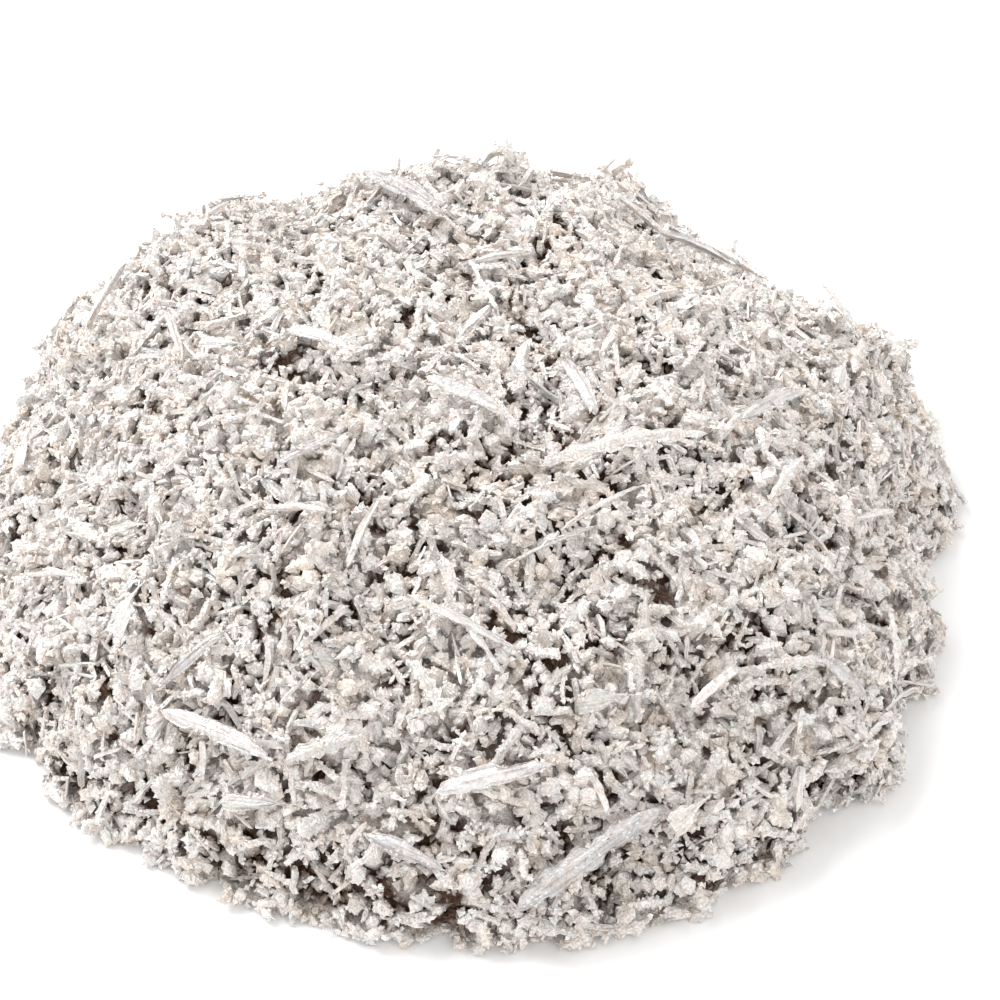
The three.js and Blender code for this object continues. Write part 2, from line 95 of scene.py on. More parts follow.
# Strewn crystals: prototypes, how close they lie, how they stand, and how high over the ground.
# where names the ground's attribute that says how thickly they lie, and no middle is lower than clear.
LUMPY = {
    "crumbs": {
        "forms": "crumbs", "where": "room", "spacing": 1.42, "density": 6.0, "scale": (0.65, 1.4),
        "lean": 3.14, "lift": (0.0, 1.0), "clear": 0.9, "parts": 2, "seed": 3, "slot": "bed_silver",
    },
    "clumps": {
        "forms": "clumps", "where": "room", "spacing": 3.0, "density": 0.22, "scale": (0.7, 1.25),
        "lean": 0.3, "lift": (0.3, 0.9), "clear": 1.2, "parts": 1, "seed": 8, "slot": "bed_silver",
    },
    "rods": {
        "forms": "rods", "where": "room", "spacing": 2.0, "density": 0.3, "scale": (0.6, 1.2),
        "lean": 0.35, "lift": (0.9, 1.5), "clear": 1.2, "parts": 1, "seed": 5, "slot": "feather_silver",
    },
    "branches": {
        "forms": "branches", "where": "room", "spacing": 2.4, "density": 0.12, "scale": (0.7, 1.25),
        "lean": 0.4, "lift": (1.2, 1.8), "clear": 1.2, "parts": 1, "seed": 13, "slot": "feather_silver",
    },
}
ON_LUMPS = {
    "granules": {
        "forms": "granules", "where": "exposed", "spacing": 0.455, "density": 22.0, "scale": (0.65, 1.3),
        "lean": 3.14, "lift": (-0.08, 0.06), "clear": 0.2, "parts": 2, "seed": 4, "slot": "bed_silver",
    },
}
ON_SKIN = {
    "gap_grains": {
        "forms": "granules", "where": "room", "spacing": 0.9, "density": 8.0, "scale": (1.2, 2.3),
        "lean": 3.14, "lift": (-0.1, 0.3), "clear": 0.4, "parts": 1, "seed": 12, "slot": "bed_silver",
    },
    "foot_grains": {
        "forms": "granules", "where": "foot", "spacing": 0.62, "density": 14.0, "scale": (1.2, 2.4),
        "lean": 3.14, "lift": (0.2, 1.1), "clear": 0.3, "parts": 1, "seed": 15, "slot": "bed_silver",
    },
    "shards": {
        "forms": "shards", "where": "straw", "spacing": 1.3, "density": 0.35, "scale": (0.7, 1.4),
        "lean": 0.5, "lift": (1.1, 1.7), "clear": 1.0, "parts": 1, "seed": 9, "slot": "flake_silver",
    },
    "twigs": {
        "forms": "twigs", "where": "straw", "spacing": 1.5, "density": 0.12, "scale": (0.7, 1.2),
        "lean": 0.35, "lift": (1.1, 1.7), "clear": 1.0, "parts": 1, "seed": 7, "slot": "needle_silver",
    },
}
ON_LOOSE_CRYSTALS = {
    "frost_on_loose_crystals": {
        "forms": "granules", "where": "exposed", "spacing": 0.5, "density": 30.0, "scale": (0.6, 1.1),
        "lean": 3.14, "lift": (-0.1, 0.03), "clear": 0.2, "parts": 1, "seed": 6, "slot": "bed_silver",
    },
}


# ---------------------------------------------------------------- small tools
def add_object(name, mesh):
    """Links a mesh to the scene as an object at the origin."""
    obj = bpy.data.objects.new(name, mesh)
    bpy.context.scene.collection.objects.link(obj)
    return obj


def merged_solid(node):
    """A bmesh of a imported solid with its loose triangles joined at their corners."""
    bm = bmesh.new()
    bm.from_mesh(frame["nodes"][node].data)
    bmesh.ops.remove_doubles(bm, verts=bm.verts, dist=MERGE_WITHIN * MM)
    return bm


def within_underside(edge):
    """Whether an edge lies between two faces of a flat underside."""
    if any(vert.co.z > ON_FLOOR * MM for vert in edge.verts):
        return False
    return all(face.normal.z < -0.9 for face in edge.link_faces)


def refine(bm, longest):
    """Splits long edges until none is longer than this, apart from those within the underside."""
    bm.normal_update()
    for _ in range(MOST_SPLITS):
        long_edges = [edge for edge in bm.edges if edge.calc_length() > longest]
        long_edges = [edge for edge in long_edges if not within_underside(edge)]
        if not long_edges:
            break
        bmesh.ops.subdivide_edges(bm, edges=long_edges, cuts=1)
        wide_faces = [face for face in bm.faces if len(face.verts) > 3]
        bmesh.ops.triangulate(bm, faces=wide_faces)
    bm.normal_update()


def ramp(value, low, high):
    """0 below low, 1 above high, and smooth between."""
    t = min(1.0, max(0.0, (value - low) / (high - low)))
    return t * t * (3 - 2 * t)


# ---------------------------------------------------------------- shader groups
def new_group(name, inputs, outputs):
    """An empty shader node group with its sockets. Returns the group and its two end nodes."""
    group = bpy.data.node_groups.new(name, "ShaderNodeTree")
    for label, kind, value in inputs:
        socket = group.interface.new_socket(label, in_out="INPUT", socket_type=kind)
        socket.default_value = value
    for label, kind in outputs:
        group.interface.new_socket(label, in_out="OUTPUT", socket_type=kind)
    return group, group.nodes.new("NodeGroupInput"), group.nodes.new("NodeGroupOutput")


def add_node(tree, kind, **settings):
    """A new node of this kind with its settings."""
    node = tree.nodes.new(kind)
    for key, value in settings.items():
        setattr(node, key, value)
    return node


def noise_at(tree, scale):
    """A plain noise texture on Object coordinates. scale is an output socket."""
    coordinates = add_node(tree, "ShaderNodeTexCoord")
    texture = add_node(tree, "ShaderNodeTexNoise")
    texture.inputs["Detail"].default_value = 0.0
    tree.links.new(coordinates.outputs["Object"], texture.inputs["Vector"])
    tree.links.new(scale, texture.inputs["Scale"])
    return texture.outputs["Fac"]


def spread(tree, value, low, high, to_low=0.0, to_high=1.0):
    """Maps low..high to to_low..to_high, clamped."""
    node = add_node(tree, "ShaderNodeMapRange")
    limits = {"From Min": low, "From Max": high, "To Min": to_low, "To Max": to_high}
    for label, number in limits.items():
        node.inputs[label].default_value = number
    tree.links.new(value, node.inputs["Value"])
    return node.outputs["Result"]


def mix_colour(tree, factor, first, second, blend="MIX"):
    """A colour mix. Each of the three is an output socket or a value."""
    node = add_node(tree, "ShaderNodeMix", data_type="RGBA", blend_type=blend)
    for index, source in ((0, factor), (6, first), (7, second)):
        if isinstance(source, bpy.types.NodeSocket):
            tree.links.new(source, node.inputs[index])
        else:
            node.inputs[index].default_value = source
    return node.outputs[2]


def product(tree, first, second):
    """Two values multiplied. Each is an output socket or a number."""
    node = add_node(tree, "ShaderNodeMath", operation="MULTIPLY")
    for index, source in enumerate((first, second)):
        if isinstance(source, bpy.types.NodeSocket):
            tree.links.new(source, node.inputs[index])
        else:
            node.inputs[index].default_value = source
    return node.outputs[0]


def attribute(tree, name):
    """A node that reads one of a piece's own attributes."""
    return add_node(tree, "ShaderNodeAttribute", attribute_name=name)


def colour_group():
    """Silver's colour: beige and rosy patches, brown tarnish with painted shade in the recesses,
    mottling and each crystal's own shade.
    """
    group, given, result = new_group(
        "Silver colour",
        [
            ("Silver", "NodeSocketColor", (0.9, 0.88, 0.86, 1)),
            ("Beige", "NodeSocketColor", (0.8, 0.7, 0.58, 1)),
            ("Brown", "NodeSocketColor", (0.12, 0.06, 0.032, 1)),
            ("Beige Share", "NodeSocketFloat", 0.3),
            ("Brown And Shade Share", "NodeSocketFloat", 0.85),
            ("Mottling", "NodeSocketFloat", 0.3),
            ("Darkest Shade", "NodeSocketFloat", 0.8),
        ],
        [("Color", "NodeSocketColor")],
    )
    tint = add_node(group, "ShaderNodeSeparateXYZ")
    group.links.new(attribute(group, "tint").outputs["Vector"], tint.inputs[0])
    patches = spread(group, tint.outputs["X"], 0.05, 0.5)
    beige_share = product(group, patches, given.outputs["Beige Share"])
    colour = mix_colour(group, beige_share, given.outputs["Silver"], given.outputs["Beige"])
    # Brown tarnish and painted shade: the deeper a point lies under the tips of the crystals, the
    # browner and darker it is painted.
    depth = attribute(group, "depth")
    recess_brown_and_shade = spread(group, depth.outputs["Fac"], *RECESS_BROWN_AND_SHADE)
    brown_and_shade_share = product(group, recess_brown_and_shade, given.outputs["Brown And Shade Share"])
    colour = mix_colour(group, brown_and_shade_share, colour, given.outputs["Brown"])
    rosy = spread(group, tint.outputs["Y"], -0.3, 0.3)
    hue = mix_colour(group, rosy, (0.965, 0.985, 1.0, 1), (1.0, 0.965, 0.95, 1))
    colour = mix_colour(group, 1.0, colour, hue, "MULTIPLY")
    fine = spread(group, tint.outputs["Z"], -0.1, 0.5)
    mottling = product(group, fine, given.outputs["Mottling"])
    grey = mix_colour(group, 1.0, colour, (0.62, 0.57, 0.54, 1), "MULTIPLY")
    colour = mix_colour(group, mottling, colour, grey)
    own_shade = attribute(group, "shade")
    shade = add_node(group, "ShaderNodeMapRange")
    group.links.new(own_shade.outputs["Fac"], shade.inputs["Value"])
    group.links.new(given.outputs["Darkest Shade"], shade.inputs["To Min"])
    colour = mix_colour(group, 1.0, colour, shade.outputs["Result"], "MULTIPLY")
    group.links.new(colour, result.inputs["Color"])
    return group


def frost_group():
    """Frosty micro-crystals: a height for bump, painted shade in the creases of that bump, and a
    roughness that differs between crystals.
    """
    group, given, result = new_group(
        "Silver frost",
        [
            ("Scale", "NodeSocketFloat", 2300.0),
            ("Roughness", "NodeSocketFloat", 0.45),
            ("Variation", "NodeSocketFloat", 0.25),
        ],
        [
            ("Height", "NodeSocketFloat"),
            ("Painted Crease Shade", "NodeSocketFloat"),
            ("Roughness", "NodeSocketFloat"),
        ],
    )
    centred = add_node(group, "ShaderNodeMath", operation="SUBTRACT")
    group.links.new(noise_at(group, given.outputs["Scale"]), centred.inputs[0])
    centred.inputs[1].default_value = 0.5
    grains = add_node(group, "ShaderNodeMath", operation="ABSOLUTE")
    group.links.new(centred.outputs[0], grains.inputs[0])
    group.links.new(spread(group, grains.outputs[0], 0.0, 0.2), result.inputs["Height"])
    # Painted shade: 1 in the bump's creases, where the colour is painted darker.
    group.links.new(spread(group, grains.outputs[0], 0.0, 0.06, 1.0, 0.0), result.inputs["Painted Crease Shade"])
    own_shade = attribute(group, "shade")
    smoother = product(group, own_shade.outputs["Fac"], given.outputs["Variation"])
    total = add_node(group, "ShaderNodeMath", operation="SUBTRACT", use_clamp=True)
    group.links.new(given.outputs["Roughness"], total.inputs[0])
    group.links.new(smoother, total.inputs[1])
    group.links.new(total.outputs[0], result.inputs["Roughness"])
    return group


def striation_group():
    """Lengthwise growth lines in the crystal's own coordinates (along, across, through), in mm."""
    group, given, result = new_group(
        "Growth lines",
        [("Along", "NodeSocketFloat", 0.18), ("Across", "NodeSocketFloat", 3.2)],
        [("Height", "NodeSocketFloat")],
    )
    own_place = attribute(group, "place")
    stretch = add_node(group, "ShaderNodeCombineXYZ")
    group.links.new(given.outputs["Along"], stretch.inputs["X"])
    group.links.new(given.outputs["Across"], stretch.inputs["Y"])
    group.links.new(given.outputs["Across"], stretch.inputs["Z"])
    stretched = add_node(group, "ShaderNodeVectorMath", operation="MULTIPLY")
    group.links.new(own_place.outputs["Vector"], stretched.inputs[0])
    group.links.new(stretch.outputs[0], stretched.inputs[1])
    own_shade = attribute(group, "shade")
    moved = add_node(group, "ShaderNodeVectorMath", operation="ADD")
    group.links.new(stretched.outputs[0], moved.inputs[0])
    group.links.new(product(group, own_shade.outputs["Fac"], 40.0), moved.inputs[1])
    texture = add_node(group, "ShaderNodeTexNoise")
    texture.inputs["Scale"].default_value = 1.0
    texture.inputs["Detail"].default_value = 1.0
    group.links.new(moved.outputs[0], texture.inputs["Vector"])
    group.links.new(texture.outputs["Fac"], result.inputs["Height"])
    return group


# Painted shade in the frost's creases, multiplied into the silver's colour.
PAINTED_CREASE_SHADE = (0.72, 0.6, 0.49, 1)
FROST_RISE = 0.2  # in mm, as the next
LINES_RISE = 0.3
COLOUR_GROUP = colour_group()
FROST_GROUP = frost_group()
LINES_GROUP = striation_group()


def silver(
    name, colour, beige, brown_and_shade, mottling, darkest, roughness, metallic, frost_bump, crease_shade,
    lines_bump=0.0, painted_groove_shade=1.0
):
    """A silver material. lines_bump gives it growth lines, with painted shade in their grooves as dark
    as painted_groove_shade; creases sets how much painted shade the frost's creases get.
    """
    material = bpy.data.materials.new(name)
    material.use_nodes = True
    tree = material.node_tree
    principled = tree.nodes["Principled BSDF"]
    tint = add_node(tree, "ShaderNodeGroup", node_tree=COLOUR_GROUP)
    tint.inputs["Silver"].default_value = (*colour, 1)
    tint.inputs["Beige Share"].default_value = beige
    # How much brown tarnish and painted shade the recesses get.
    tint.inputs["Brown And Shade Share"].default_value = brown_and_shade
    tint.inputs["Mottling"].default_value = mottling
    tint.inputs["Darkest Shade"].default_value = darkest
    frost = add_node(tree, "ShaderNodeGroup", node_tree=FROST_GROUP)
    frost.inputs["Roughness"].default_value = roughness
    # Painted shade: the frost's creases are painted darker and browner.
    painted_crease_share = product(tree, frost.outputs["Painted Crease Shade"], crease_shade)
    colour_out = mix_colour(tree, painted_crease_share, tint.outputs["Color"], PAINTED_CREASE_SHADE, "MULTIPLY")
    bumps = add_node(tree, "ShaderNodeBump")
    bumps.inputs["Strength"].default_value = frost_bump
    bumps.inputs["Distance"].default_value = FROST_RISE * MM
    tree.links.new(frost.outputs["Height"], bumps.inputs["Height"])
    if lines_bump:
        lines = add_node(tree, "ShaderNodeGroup", node_tree=LINES_GROUP)
        ridges = add_node(tree, "ShaderNodeBump")
        ridges.inputs["Strength"].default_value = lines_bump
        ridges.inputs["Distance"].default_value = LINES_RISE * MM
        tree.links.new(lines.outputs["Height"], ridges.inputs["Height"])
        tree.links.new(ridges.outputs["Normal"], bumps.inputs["Normal"])
        # Painted shade in the grooves of the growth lines.
        groove_shade_factor = spread(tree, lines.outputs["Height"], 0.3, 0.55, painted_groove_shade, 1.0)
        colour_out = mix_colour(tree, 1.0, colour_out, groove_shade_factor, "MULTIPLY")
    principled.inputs["Metallic"].default_value = metallic
    tree.links.new(colour_out, principled.inputs["Base Color"])
    tree.links.new(frost.outputs["Roughness"], principled.inputs["Roughness"])
    tree.links.new(bumps.outputs["Normal"], principled.inputs["Normal"])
    return material


SILVER = {
    "bed_silver": silver(
        "Granular silver", colour=(0.95, 0.93, 0.91), beige=0.45, brown_and_shade=0.98, mottling=0.35,
        darkest=0.84, roughness=0.68, metallic=0.3, frost_bump=0.5, crease_shade=0.55,
    ),
    "needle_silver": silver(
        "Needle silver", colour=(0.935, 0.91, 0.89), beige=0.3, brown_and_shade=0.95, mottling=0.35,
        darkest=0.8, roughness=0.6, metallic=0.4, frost_bump=0.3, crease_shade=0.45,
        lines_bump=0.7, painted_groove_shade=0.8,
    ),
    "blade_silver": silver(
        "Blade silver", colour=(0.915, 0.9, 0.9), beige=0.2, brown_and_shade=0.7, mottling=0.5,
        darkest=0.66, roughness=0.52, metallic=0.45, frost_bump=0.3, crease_shade=0.5,
        lines_bump=0.7, painted_groove_shade=0.72,
    ),
    "flake_silver": silver(
        "Flake silver", colour=(0.935, 0.915, 0.895), beige=0.3, brown_and_shade=0.95, mottling=0.35,
        darkest=0.75, roughness=0.58, metallic=0.4, frost_bump=0.35, crease_shade=0.5,
        lines_bump=0.7, painted_groove_shade=0.75,
    ),
    "feather_silver": silver(
        "Feather silver", colour=(0.94, 0.915, 0.895), beige=0.35, brown_and_shade=0.95, mottling=0.4,
        darkest=0.8, roughness=0.65, metallic=0.35, frost_bump=0.5, crease_shade=0.55,
        lines_bump=0.3, painted_groove_shade=0.85,
    ),
    "forked_needle_silver": silver(
        "Forked needle silver", colour=(0.945, 0.925, 0.905), beige=0.2, brown_and_shade=0.7, mottling=0.3,
        darkest=0.8, roughness=0.52, metallic=0.4, frost_bump=0.3, crease_shade=0.5,
        lines_bump=0.7, painted_groove_shade=0.75,
    ),
}


# ---------------------------------------------------------------- prototypes of the strewn crystals
def somewhere(rng):
    """A random direction."""
    return Vector((rng.gauss(0, 1), rng.gauss(0, 1), rng.gauss(0, 1))).normalized()


def lump(bm, middle, reach, rng):
    """An uneven twenty-sided lump."""
    seed = Vector((rng.uniform(0, 50), 0, 0))
    turn = Matrix.Rotation(rng.uniform(0, 6.28), 3, somewhere(rng))
    for vert in bmesh.ops.create_icosphere(bm, subdivisions=1, radius=1.0)["verts"]:
        way = vert.co.copy()
        vert.co = middle + turn @ (way * reach * (1.1 + 0.6 * noise.noise(way * 1.3 + seed)))


def crumb(rng):
    """A crumb of two or three lumps."""
    bm = bmesh.new()
    count = rng.choice((2, 2, 3, 3))
    slender = rng.uniform(0.75, 1.1)
    for index in range(count):
        along = (index - 0.5 * (count - 1)) * 0.85
        middle = Vector((along, rng.uniform(-0.4, 0.4), rng.uniform(-0.25, 0.25)))
        length = rng.uniform(0.6, 1.0)
        width = rng.uniform(0.55, 0.8) * slender
        thickness = rng.uniform(0.45, 0.65) * slender
        lump(bm, middle, Vector((length, width, thickness)), rng)
    return bm


def clump(rng):
    """A flattish clump of three large lumps grown together."""
    bm = bmesh.new()
    for index in range(3):
        angle = 2.1 * index + rng.uniform(-0.5, 0.5)
        middle = Vector((0.95 * math.cos(angle), 0.6 * math.sin(angle), rng.uniform(-0.2, 0.3)))
        reach = Vector((rng.uniform(0.9, 1.3), rng.uniform(0.65, 0.95), rng.uniform(0.5, 0.7)))
        lump(bm, middle, reach, rng)
    return bm


def rod(rng):
    """A thick uneven rod."""
    bm = bmesh.new()
    length = rng.uniform(3.0, 5.5)
    start = Vector((-length / 2, 0, 0))
    end = Vector((length / 2, rng.uniform(-0.5, 0.5), rng.uniform(-0.3, 0.3)))
    stations = [(0.05 + 0.18 * index, rng.uniform(0.65, 1.25)) for index in range(6)]
    bar(bm, start, end, rng.uniform(0.65, 1.0), 0.7, rng.uniform(0, 3), stations, rng)
    return bm


def granule(rng):
    """One uneven six-sided grain of frost."""
    bm = bmesh.new()
    reach = rng.uniform(0.22, 0.31)
    ends = [bm.verts.new(Vector((0, 0, sign * reach * rng.uniform(0.9, 1.5)))) for sign in (1, -1)]
    waist = []
    for turn in range(3):
        angle = turn * 2 * math.pi / 3 + rng.uniform(-0.3, 0.3)
        way = Vector((math.cos(angle), math.sin(angle), rng.uniform(-0.2, 0.2)))
        waist.append(bm.verts.new(way * reach * rng.uniform(0.8, 1.2)))
    for turn in range(3):
        for end in ends:
            bm.faces.new((waist[turn], waist[(turn + 1) % 3], end))
    return bm


def bar(bm, start, end, width, thickness, roll, stations, rng):
    """A pointed four-sided crystal from start to end. stations are (share of length, share of width)."""
    along = (end - start).normalized()
    across = along.orthogonal().normalized()
    across.rotate(Matrix.Rotation(roll, 3, along))
    up = along.cross(across)
    tail = bm.verts.new(start)
    rings = []
    for at, share in stations:
        middle = start.lerp(end, at)
        middle += across * rng.uniform(-0.12, 0.12) * width + up * rng.uniform(-0.2, 0.2) * thickness
        half = 0.5 * width * share * rng.uniform(0.85, 1.15)
        thick = 0.5 * thickness * rng.uniform(0.85, 1.1)
        corners = (across * half, up * thick, across * -half, up * -thick)
        rings.append([bm.verts.new(middle + corner) for corner in corners])
    tip = bm.verts.new(end)
    for side in range(4):
        after = (side + 1) % 4
        bm.faces.new((tail, rings[0][after], rings[0][side]))
        bm.faces.new((tip, rings[-1][side], rings[-1][after]))
        for ring, following in zip(rings, rings[1:]):
            bm.faces.new((ring[side], ring[after], following[after], following[side]))


def twig(rng):
    """A slender needle, sometimes with a spur."""
    bm = bmesh.new()
    length = rng.uniform(2.6, 4.4)
    width = rng.uniform(0.34, 0.52)
    start = Vector((-length / 2, 0, 0))
    end = Vector((length / 2, rng.uniform(-0.2, 0.2), rng.uniform(-0.2, 0.2)))
    stations = ((0.08, 0.8), (0.5, 1.0), (0.9, 0.7))
    bar(bm, start, end, width, 0.8 * width, rng.uniform(0, 3), stations, rng)
    root = start.lerp(end, rng.uniform(0.35, 0.65))
    spur = root + Vector((0.7, rng.choice((-0.6, 0.6)), rng.uniform(-0.2, 0.3))) * rng.uniform(0.7, 1.4)
    bar(bm, root, spur, 0.8 * width, 0.7 * width, 0.0, ((0.5, 0.9),), rng)
    return bm


def shard(rng):
    """A short thick blade with uneven edges and blunt ends."""
    bm = bmesh.new()
    length = rng.uniform(1.8, 3.6)
    width = rng.uniform(0.6, 1.15)
    start = Vector((-length / 2, 0, 0))
    end = Vector((length / 2, 0, rng.uniform(-0.3, 0.1)))
    stations = [(0.04, rng.uniform(0.4, 0.7))]
    stations += [(at, rng.uniform(0.7, 1.15)) for at in (0.28, 0.52, 0.76)]
    stations += [(0.95, rng.uniform(0.3, 0.6))]
    bar(bm, start, end, width, 0.5 * width + 0.1, 0.0, stations, rng)
    return bm


def branch(rng):
    """A crumbly branch, as silver grows in the cell: a stem with short bars on both sides."""
    bm = bmesh.new()
    length = rng.uniform(2.4, 4.2)
    start = Vector((-length / 2, 0, 0))
    end = Vector((length / 2, rng.uniform(-0.3, 0.3), 0))
    bar(bm, start, end, 0.75, 0.6, rng.uniform(0, 3), ((0.1, 0.9), (0.5, 1.1), (0.85, 0.8)), rng)
    for index in range(4):
        root = start.lerp(end, 0.15 + 0.2 * index)
        side = 1 if index % 2 else -1
        reach = Vector((rng.uniform(0.3, 0.7), rng.uniform(0.7, 1.2) * side, rng.uniform(-0.1, 0.3)))
        bar(bm, root, root + reach, 0.6, 0.5, 0.0, ((0.6, 0.9),), rng)
    return bm


MAKERS = {  # how each form is made, and how many different ones there are
    "crumbs": (crumb, 16),
    "clumps": (clump, 12),
    "rods": (rod, 10),
    "granules": (granule, 10),
    "branches": (branch, 10),
    "shards": (shard, 10),
    "twigs": (twig, 8),
}


def prototype_collection(form):
    """A collection of one form's prototypes, in metres."""
    make, count = MAKERS[form]
    collection = bpy.data.collections.new(f"{form} prototypes")
    bpy.context.scene.collection.children.link(collection)
    for index in range(count):
        bm = make(random.Random(f"{form} {index}"))
        bmesh.ops.scale(bm, vec=Vector((MM, MM, MM)), verts=bm.verts)
        bmesh.ops.recalc_face_normals(bm, faces=bm.faces)
        mesh = bpy.data.meshes.new(f"{form} {index}")
        bm.to_mesh(mesh)
        bm.free()
        places = [number / MM for vert in mesh.vertices for number in vert.co]
        store(mesh, "place", places)
        collection.objects.link(bpy.data.objects.new(f"{form} {index}", mesh))
    return collection


def store(mesh, name, values):
    """Stores numbers or vectors as an attribute of a mesh's points, in place of any earlier one."""
    if name in mesh.attributes:
        mesh.attributes.remove(mesh.attributes[name])
    if len(values) == len(mesh.vertices):
        mesh.attributes.new(name, "FLOAT", "POINT").data.foreach_set("value", values)
    else:
        mesh.attributes.new(name, "FLOAT_VECTOR", "POINT").data.foreach_set("vector", values)


def add_tints(mesh):
    """Stores at each point how beige, how rosy and how mottled the silver is."""
    tints = []
    for vert in mesh.vertices:
        point = vert.co / MM
        for size in TINT_SIZES:
            tints.append(noise.noise(point / size))
    store(mesh, "tint", tints)


# ---------------------------------------------------------------- the bed's skin
def smoothed_normals(bm, rounds):
    """Vertex normals averaged with their neighbours', so that the skin moves in evenly."""
    normals = [vert.normal.copy() for vert in bm.verts]
    for _ in range(rounds):
        fresh = []
        for vert in bm.verts:
            total = normals[vert.index].copy()
            for edge in vert.link_edges:
                total += normals[edge.other_vert(vert).index]
            fresh.append(total.normalized() if total.length > 0 else vert.normal.copy())
        normals = fresh
    return normals


def loose_solids():
    """A search tree of all loose crystals' faces."""
    verts = []
    faces = []
    for name, obj in frame["nodes"].items():
        if name != "crystal_bed":
            first = len(verts)
            verts += [vert.co.copy() for vert in obj.data.vertices]
            faces += [[first + index for index in face.vertices] for face in obj.data.polygons]
    return BVHTree.FromPolygons(verts, faces)


def skin_relief(point):
    """How far the skin moves out at a point in mm."""
    height = 0.4 + 0.6 * ramp(point.z, *LUMPS["lower_under"])
    return height * LUMPS["rise"] * noise.noise(point / LUMPS["size"])


def rim_notch(point):
    """How far a notch of the heap's outer edge goes in at a point in mm."""
    low = 1 - ramp(point.z, 0.3 * RIM_NOTCHES["height"], RIM_NOTCHES["height"])
    across = Vector((point.x, point.y, 0.4 * point.z)) / RIM_NOTCHES["size"]
    return RIM_NOTCHES["depth"] * low * ramp(noise.noise(across), -0.1, 0.5)


def strawy(point):
    """How thickly needles and shards lie at a point in mm: more towards the sides and the back."""
    sides = max(ramp(-point.x, *STRAW["left"]), ramp(point.x, *STRAW["right"]))
    outer = max(sides, ramp(point.y, *STRAW["back"]))
    patches = noise.noise(point / STRAW["patches"] + Vector((5, 5, 5)))
    return (0.35 + 0.65 * outer) * ramp(patches, -0.5, 0.3)


def bed_skin():
    """The bed's skin. Its attributes room, straw and foot say how thickly crystals lie on it."""
    bm = merged_solid("crystal_bed")
    refine(bm, SKIN_EDGE * MM)
    bm.verts.index_update()
    solid = BVHTree.FromBMesh(bm)
    loose = loose_solids()
    values = {"room": [], "straw": [], "foot": []}
    places = []
    for vert, normal in zip(bm.verts, smoothed_normals(bm, 3)):
        point = vert.co / MM
        start = vert.co - normal * SKIN_LOOK_IN["start"] * MM
        hit, _, _, depth = solid.ray_cast(start, -normal, SKIN_LOOK_IN["reach"] * MM)
        deep = 1.0 if hit is None else ramp(depth / MM, *THIN_CRYSTAL)
        inwards = max(0.0, deep * (SKIN_SET_IN - skin_relief(point) + rim_notch(point)))
        if point.z < ON_FLOOR:
            normal = Vector((normal.x, normal.y, 0))
        place = vert.co - normal * inwards * MM
        place.z = max(0.0, place.z)
        places.append(place)
        near = ramp(loose.find_nearest(vert.co)[3] / MM, *CLEAR_OF_LOOSE)
        room = deep * (0.3 + 0.7 * near)
        values["room"].append(room)
        values["straw"].append(room * strawy(point))
        values["foot"].append(room * (1 - ramp(point.z, *FOOT_GRAINS)))
    for vert, place in zip(bm.verts, places):
        vert.co = place
    mesh = bpy.data.meshes.new("crystal_bed_skin")
    bm.to_mesh(mesh)
    bm.free()
    values["depth"] = depths_under(solid, mesh)
    values["shade"] = [0.5] * len(places)
    for name, numbers in values.items():
        store(mesh, name, numbers)
    add_tints(mesh)
    mesh.materials.append(SILVER["bed_silver"])
    return add_object("crystal_bed_skin", mesh)


def plain_mesh(obj, name):
    """An object's mesh with its modifiers applied."""
    evaluated = obj.evaluated_get(bpy.context.evaluated_depsgraph_get())
    mesh = bpy.data.meshes.new_from_object(evaluated)
    mesh.name = name
    return mesh


def depths_under(solid, mesh):
    """How deep each point of a mesh lies under the solid's surface, in mm, and more near the floor."""
    depths = []
    for vert in mesh.vertices:
        _, facing, _, _ = solid.ray_cast(vert.co, UP)
        inside = facing is not None and facing.z > 0
        below = solid.find_nearest(vert.co)[3] / MM if inside else 0.0
        # More depth near the floor, and so more painted shade and brown there.
        low = 1 - ramp(vert.co.z / MM, *FOOT_BROWN_AND_SHADE["heights"])
        depths.append(below + FOOT_BROWN_AND_SHADE["depth"] * low)
    return depths


def open_share(cover, point, outwards):
    """How much of the way out from a point is open: straight out and slanting to three sides."""
    aside = outwards.orthogonal().normalized()
    ways = [outwards]
    for turn in range(3):
        slanting = aside.copy()
        slanting.rotate(Matrix.Rotation(turn * 2 * math.pi / 3, 3, outwards))
        ways.append((outwards + OPEN_VIEW["slant"] * slanting).normalized())
    start = OPEN_VIEW["start"] * MM
    reach = OPEN_VIEW["reach"] * MM
    free = [cover.ray_cast(point + way * start, way, reach)[0] is None for way in ways]
    return sum(free) / len(ways)


def frost_ground(pieces, solid, thickness):
    """Pieces joined as a ground for frost. Their attribute exposed says how thickly the frost lies."""
    bm = bmesh.new()
    for piece in pieces:
        bm.from_mesh(piece.data)
    cover = BVHTree.FromBMesh(bm)
    exposed = []
    for vert in bm.verts:
        _, outwards, _, _ = solid.find_nearest(vert.co)
        if vert.co.z < ON_FLOOR * MM:
            exposed.append(0.0)
        else:
            exposed.append(thickness(vert.co / MM) * open_share(cover, vert.co, outwards))
    mesh = bpy.data.meshes.new("frost ground")
    bm.to_mesh(mesh)
    bm.free()
    store(mesh, "exposed", exposed)
    return add_object("frost ground", mesh)


def without_underside(skin):
    """A copy of the skin that crystals can be strewn on."""
    bm = bmesh.new()
    bm.from_mesh(skin.data)
    flat = [face for face in bm.faces if all(vert.co.z < ON_FLOOR * MM for vert in face.verts)]
    bmesh.ops.delete(bm, geom=flat, context="FACES")
    mesh = bpy.data.meshes.new("strewing ground")
    bm.to_mesh(mesh)
    bm.free()
    return add_object("strewing ground", mesh)


